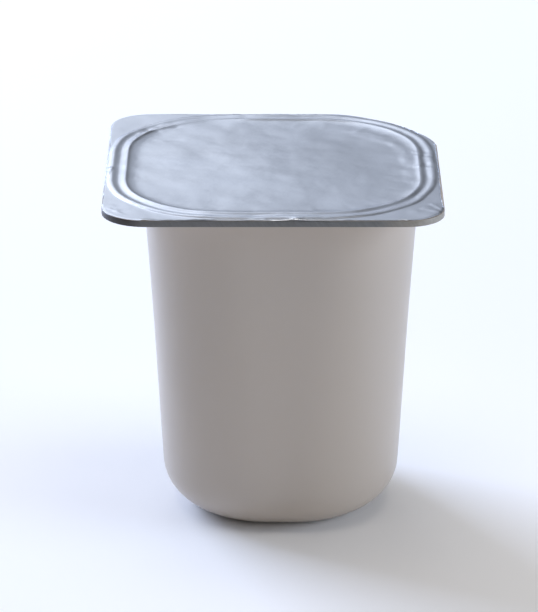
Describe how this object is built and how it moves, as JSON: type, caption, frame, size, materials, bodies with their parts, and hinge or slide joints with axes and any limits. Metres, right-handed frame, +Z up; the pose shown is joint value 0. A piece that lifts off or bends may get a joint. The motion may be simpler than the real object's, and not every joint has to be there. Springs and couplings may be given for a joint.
{
  "type": "yogurt pot",
  "caption": "Shut single-serve yogurt pot: tapered rounded-square cup with a flat square flange, one corner cut to an arc, under a pressed foil lid.",
  "frame": {"origin": "on the standing plane, below the middle of the square flange", "axes": "+Z up through the lid, +X to the right and +Y to the back; the arc-cut corner of the flange is at +X +Y"},
  "size_m": [0.062, 0.062, 0.0662],
  "materials": {
    "cup_plastic": "thermoformed white polystyrene sheet, soft gloss on the wall, matt on the die-cut edge of the flange",
    "lid_foil": "plain satin rolled aluminium foil with two pressed seal ridges and fine creases"
  },
  "bodies": {
    "root": {"pot": "cup_plastic", "foil_lid": "lid_foil"}
  },
  "joints": []
}
